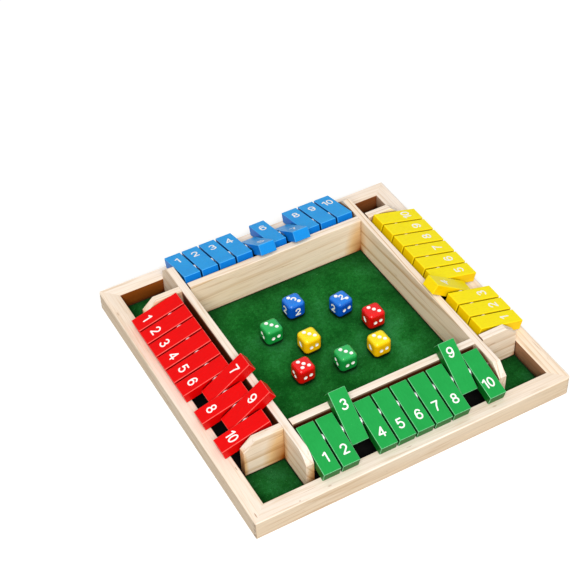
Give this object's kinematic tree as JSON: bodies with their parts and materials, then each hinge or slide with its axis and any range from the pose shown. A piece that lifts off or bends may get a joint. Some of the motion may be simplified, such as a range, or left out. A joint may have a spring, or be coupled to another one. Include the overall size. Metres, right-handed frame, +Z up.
{
  "type": "shut the box game",
  "caption": "Square wooden dice tray with rows of coloured flip tiles on pivot rods along all four sides, felt floor, corner cells and loose dice.",
  "frame": {"origin": "bottom centre of the square frame, on the table", "axes": "+X along the green row from its 1 to its 10, +Y from the green row to the blue row, +Z up"},
  "size_m": [0.28, 0.28, 0.0497],
  "materials": {
    "pine": "smooth sanded pale pine, clear coat",
    "black_board": "thin board painted matt black",
    "felt": "short green nap",
    "steel_rod": "drawn wire",
    "washer": "bright plated",
    "paint_green": "satin paint on wood, white printed numbers",
    "paint_red": "satin paint on wood, white printed numbers",
    "paint_blue": "satin paint on wood, white printed numbers",
    "paint_yellow": "satin paint on wood, white printed numbers",
    "plastic_blue": "moulded, white spots",
    "plastic_red": "moulded, white spots",
    "plastic_green": "moulded, white spots",
    "plastic_yellow": "moulded, white spots"
  },
  "bodies": {
    "tray": {"rail_front": "pine", "rail_back": "pine", "rail_left": "pine", "rail_right": "pine", "base_board": "black_board", "felt_lining": "felt", "wall_front": "pine", "wall_back": "pine", "wall_left": "pine", "wall_right": "pine", "pivot_rods": "steel_rod", "spacer_washers": "washer"},
    "green_tile_01": {"green_tile_01": "paint_green"},
    "green_tile_02": {"green_tile_02": "paint_green"},
    "green_tile_03": {"green_tile_03": "paint_green"},
    "green_tile_04": {"green_tile_04": "paint_green"},
    "green_tile_05": {"green_tile_05": "paint_green"},
    "green_tile_06": {"green_tile_06": "paint_green"},
    "green_tile_07": {"green_tile_07": "paint_green"},
    "green_tile_08": {"green_tile_08": "paint_green"},
    "green_tile_09": {"green_tile_09": "paint_green"},
    "green_tile_10": {"green_tile_10": "paint_green"},
    "red_tile_01": {"red_tile_01": "paint_red"},
    "red_tile_02": {"red_tile_02": "paint_red"},
    "red_tile_03": {"red_tile_03": "paint_red"},
    "red_tile_04": {"red_tile_04": "paint_red"},
    "red_tile_05": {"red_tile_05": "paint_red"},
    "red_tile_06": {"red_tile_06": "paint_red"},
    "red_tile_07": {"red_tile_07": "paint_red"},
    "red_tile_08": {"red_tile_08": "paint_red"},
    "red_tile_09": {"red_tile_09": "paint_red"},
    "red_tile_10": {"red_tile_10": "paint_red"},
    "blue_tile_01": {"blue_tile_01": "paint_blue"},
    "blue_tile_02": {"blue_tile_02": "paint_blue"},
    "blue_tile_03": {"blue_tile_03": "paint_blue"},
    "blue_tile_04": {"blue_tile_04": "paint_blue"},
    "blue_tile_05": {"blue_tile_05": "paint_blue"},
    "blue_tile_06": {"blue_tile_06": "paint_blue"},
    "blue_tile_07": {"blue_tile_07": "paint_blue"},
    "blue_tile_08": {"blue_tile_08": "paint_blue"},
    "blue_tile_09": {"blue_tile_09": "paint_blue"},
    "blue_tile_10": {"blue_tile_10": "paint_blue"},
    "yellow_tile_01": {"yellow_tile_01": "paint_yellow"},
    "yellow_tile_02": {"yellow_tile_02": "paint_yellow"},
    "yellow_tile_03": {"yellow_tile_03": "paint_yellow"},
    "yellow_tile_04": {"yellow_tile_04": "paint_yellow"},
    "yellow_tile_05": {"yellow_tile_05": "paint_yellow"},
    "yellow_tile_06": {"yellow_tile_06": "paint_yellow"},
    "yellow_tile_07": {"yellow_tile_07": "paint_yellow"},
    "yellow_tile_08": {"yellow_tile_08": "paint_yellow"},
    "yellow_tile_09": {"yellow_tile_09": "paint_yellow"},
    "yellow_tile_10": {"yellow_tile_10": "paint_yellow"},
    "die_blue_1": {"die_blue_1": "plastic_blue"},
    "die_blue_2": {"die_blue_2": "plastic_blue"},
    "die_red_1": {"die_red_1": "plastic_red"},
    "die_red_2": {"die_red_2": "plastic_red"},
    "die_green_1": {"die_green_1": "plastic_green"},
    "die_green_2": {"die_green_2": "plastic_green"},
    "die_yellow_1": {"die_yellow_1": "plastic_yellow"},
    "die_yellow_2": {"die_yellow_2": "plastic_yellow"}
  },
  "joints": [
    {"name": "green_tile_01_flip", "type": "hinge", "parent": "tray", "child": "green_tile_01", "pos_m": [0.0026, -0.10412, 0.0298], "axis": [-1, 0, 0], "range_deg": [0, 161.45]},
    {"name": "green_tile_02_flip", "type": "hinge", "parent": "tray", "child": "green_tile_02", "pos_m": [0.0026, -0.10412, 0.0298], "axis": [-1, 0, 0], "range_deg": [0, 161.45]},
    {"name": "green_tile_03_flip", "type": "hinge", "parent": "tray", "child": "green_tile_03", "pos_m": [0.0026, -0.10412, 0.0298], "axis": [-1, 0, 0], "range_deg": [-161.45, 0]},
    {"name": "green_tile_04_flip", "type": "hinge", "parent": "tray", "child": "green_tile_04", "pos_m": [0.0026, -0.10412, 0.0298], "axis": [-1, 0, 0], "range_deg": [0, 161.45]},
    {"name": "green_tile_05_flip", "type": "hinge", "parent": "tray", "child": "green_tile_05", "pos_m": [0.0026, -0.10412, 0.0298], "axis": [-1, 0, 0], "range_deg": [0, 161.45]},
    {"name": "green_tile_06_flip", "type": "hinge", "parent": "tray", "child": "green_tile_06", "pos_m": [0.0026, -0.10412, 0.0298], "axis": [-1, 0, 0], "range_deg": [0, 161.45]},
    {"name": "green_tile_07_flip", "type": "hinge", "parent": "tray", "child": "green_tile_07", "pos_m": [0.0026, -0.10412, 0.0298], "axis": [-1, 0, 0], "range_deg": [0, 161.45]},
    {"name": "green_tile_08_flip", "type": "hinge", "parent": "tray", "child": "green_tile_08", "pos_m": [0.0026, -0.10412, 0.0298], "axis": [-1, 0, 0], "range_deg": [0, 161.45]},
    {"name": "green_tile_09_flip", "type": "hinge", "parent": "tray", "child": "green_tile_09", "pos_m": [0.0026, -0.10412, 0.0298], "axis": [-1, 0, 0], "range_deg": [-161.45, 0]},
    {"name": "green_tile_10_flip", "type": "hinge", "parent": "tray", "child": "green_tile_10", "pos_m": [0.0026, -0.10412, 0.0298], "axis": [-1, 0, 0], "range_deg": [0, 161.45]},
    {"name": "red_tile_01_flip", "type": "hinge", "parent": "tray", "child": "red_tile_01", "pos_m": [-0.10452, 0.003, 0.0298], "axis": [0, 1, 0], "range_deg": [0, 161.45]},
    {"name": "red_tile_02_flip", "type": "hinge", "parent": "tray", "child": "red_tile_02", "pos_m": [-0.10452, 0.003, 0.0298], "axis": [0, 1, 0], "range_deg": [0, 161.45]},
    {"name": "red_tile_03_flip", "type": "hinge", "parent": "tray", "child": "red_tile_03", "pos_m": [-0.10452, 0.003, 0.0298], "axis": [0, 1, 0], "range_deg": [0, 161.45]},
    {"name": "red_tile_04_flip", "type": "hinge", "parent": "tray", "child": "red_tile_04", "pos_m": [-0.10452, 0.003, 0.0298], "axis": [0, 1, 0], "range_deg": [0, 161.45]},
    {"name": "red_tile_05_flip", "type": "hinge", "parent": "tray", "child": "red_tile_05", "pos_m": [-0.10452, 0.003, 0.0298], "axis": [0, 1, 0], "range_deg": [0, 161.45]},
    {"name": "red_tile_06_flip", "type": "hinge", "parent": "tray", "child": "red_tile_06", "pos_m": [-0.10452, 0.003, 0.0298], "axis": [0, 1, 0], "range_deg": [0, 161.45]},
    {"name": "red_tile_07_flip", "type": "hinge", "parent": "tray", "child": "red_tile_07", "pos_m": [-0.10452, 0.003, 0.0298], "axis": [0, 1, 0], "range_deg": [-161.45, 0]},
    {"name": "red_tile_08_flip", "type": "hinge", "parent": "tray", "child": "red_tile_08", "pos_m": [-0.10452, 0.003, 0.0298], "axis": [0, 1, 0], "range_deg": [0, 161.45]},
    {"name": "red_tile_09_flip", "type": "hinge", "parent": "tray", "child": "red_tile_09", "pos_m": [-0.10452, 0.003, 0.0298], "axis": [0, 1, 0], "range_deg": [-161.45, 0]},
    {"name": "red_tile_10_flip", "type": "hinge", "parent": "tray", "child": "red_tile_10", "pos_m": [-0.10452, 0.003, 0.0298], "axis": [0, 1, 0], "range_deg": [0, 161.45]},
    {"name": "blue_tile_01_flip", "type": "hinge", "parent": "tray", "child": "blue_tile_01", "pos_m": [0.0026, 0.11012, 0.0298], "axis": [1, 0, 0], "range_deg": [0, 161.45]},
    {"name": "blue_tile_02_flip", "type": "hinge", "parent": "tray", "child": "blue_tile_02", "pos_m": [0.0026, 0.11012, 0.0298], "axis": [1, 0, 0], "range_deg": [0, 161.45]},
    {"name": "blue_tile_03_flip", "type": "hinge", "parent": "tray", "child": "blue_tile_03", "pos_m": [0.0026, 0.11012, 0.0298], "axis": [1, 0, 0], "range_deg": [0, 161.45]},
    {"name": "blue_tile_04_flip", "type": "hinge", "parent": "tray", "child": "blue_tile_04", "pos_m": [0.0026, 0.11012, 0.0298], "axis": [1, 0, 0], "range_deg": [0, 161.45]},
    {"name": "blue_tile_05_flip", "type": "hinge", "parent": "tray", "child": "blue_tile_05", "pos_m": [0.0026, 0.11012, 0.0298], "axis": [1, 0, 0], "range_deg": [-161.45, 0]},
    {"name": "blue_tile_06_flip", "type": "hinge", "parent": "tray", "child": "blue_tile_06", "pos_m": [0.0026, 0.11012, 0.0298], "axis": [1, 0, 0], "range_deg": [0, 161.45]},
    {"name": "blue_tile_07_flip", "type": "hinge", "parent": "tray", "child": "blue_tile_07", "pos_m": [0.0026, 0.11012, 0.0298], "axis": [1, 0, 0], "range_deg": [-161.45, 0]},
    {"name": "blue_tile_08_flip", "type": "hinge", "parent": "tray", "child": "blue_tile_08", "pos_m": [0.0026, 0.11012, 0.0298], "axis": [1, 0, 0], "range_deg": [0, 161.45]},
    {"name": "blue_tile_09_flip", "type": "hinge", "parent": "tray", "child": "blue_tile_09", "pos_m": [0.0026, 0.11012, 0.0298], "axis": [1, 0, 0], "range_deg": [0, 161.45]},
    {"name": "blue_tile_10_flip", "type": "hinge", "parent": "tray", "child": "blue_tile_10", "pos_m": [0.0026, 0.11012, 0.0298], "axis": [1, 0, 0], "range_deg": [0, 161.45]},
    {"name": "yellow_tile_01_flip", "type": "hinge", "parent": "tray", "child": "yellow_tile_01", "pos_m": [0.10972, 0.003, 0.0298], "axis": [0, -1, 0], "range_deg": [0, 161.45]},
    {"name": "yellow_tile_02_flip", "type": "hinge", "parent": "tray", "child": "yellow_tile_02", "pos_m": [0.10972, 0.003, 0.0298], "axis": [0, -1, 0], "range_deg": [0, 161.45]},
    {"name": "yellow_tile_03_flip", "type": "hinge", "parent": "tray", "child": "yellow_tile_03", "pos_m": [0.10972, 0.003, 0.0298], "axis": [0, -1, 0], "range_deg": [0, 161.45]},
    {"name": "yellow_tile_04_flip", "type": "hinge", "parent": "tray", "child": "yellow_tile_04", "pos_m": [0.10972, 0.003, 0.0298], "axis": [0, -1, 0], "range_deg": [-161.45, 0]},
    {"name": "yellow_tile_05_flip", "type": "hinge", "parent": "tray", "child": "yellow_tile_05", "pos_m": [0.10972, 0.003, 0.0298], "axis": [0, -1, 0], "range_deg": [0, 161.45]},
    {"name": "yellow_tile_06_flip", "type": "hinge", "parent": "tray", "child": "yellow_tile_06", "pos_m": [0.10972, 0.003, 0.0298], "axis": [0, -1, 0], "range_deg": [0, 161.45]},
    {"name": "yellow_tile_07_flip", "type": "hinge", "parent": "tray", "child": "yellow_tile_07", "pos_m": [0.10972, 0.003, 0.0298], "axis": [0, -1, 0], "range_deg": [0, 161.45]},
    {"name": "yellow_tile_08_flip", "type": "hinge", "parent": "tray", "child": "yellow_tile_08", "pos_m": [0.10972, 0.003, 0.0298], "axis": [0, -1, 0], "range_deg": [0, 161.45]},
    {"name": "yellow_tile_09_flip", "type": "hinge", "parent": "tray", "child": "yellow_tile_09", "pos_m": [0.10972, 0.003, 0.0298], "axis": [0, -1, 0], "range_deg": [0, 161.45]},
    {"name": "yellow_tile_10_flip", "type": "hinge", "parent": "tray", "child": "yellow_tile_10", "pos_m": [0.10972, 0.003, 0.0298], "axis": [0, -1, 0], "range_deg": [0, 161.45]},
    {"name": "die_blue_1_lift", "type": "slide", "parent": "tray", "child": "die_blue_1", "axis": [0, 0, 1], "range_m": [0, 0.06]},
    {"name": "die_blue_2_lift", "type": "slide", "parent": "tray", "child": "die_blue_2", "axis": [0, 0, 1], "range_m": [0, 0.06]},
    {"name": "die_red_1_lift", "type": "slide", "parent": "tray", "child": "die_red_1", "axis": [0, 0, 1], "range_m": [0, 0.06]},
    {"name": "die_red_2_lift", "type": "slide", "parent": "tray", "child": "die_red_2", "axis": [0, 0, 1], "range_m": [0, 0.06]},
    {"name": "die_green_1_lift", "type": "slide", "parent": "tray", "child": "die_green_1", "axis": [0, 0, 1], "range_m": [0, 0.06]},
    {"name": "die_green_2_lift", "type": "slide", "parent": "tray", "child": "die_green_2", "axis": [0, 0, 1], "range_m": [0, 0.06]},
    {"name": "die_yellow_1_lift", "type": "slide", "parent": "tray", "child": "die_yellow_1", "axis": [0, 0, 1], "range_m": [0, 0.06]},
    {"name": "die_yellow_2_lift", "type": "slide", "parent": "tray", "child": "die_yellow_2", "axis": [0, 0, 1], "range_m": [0, 0.06]}
  ]
}
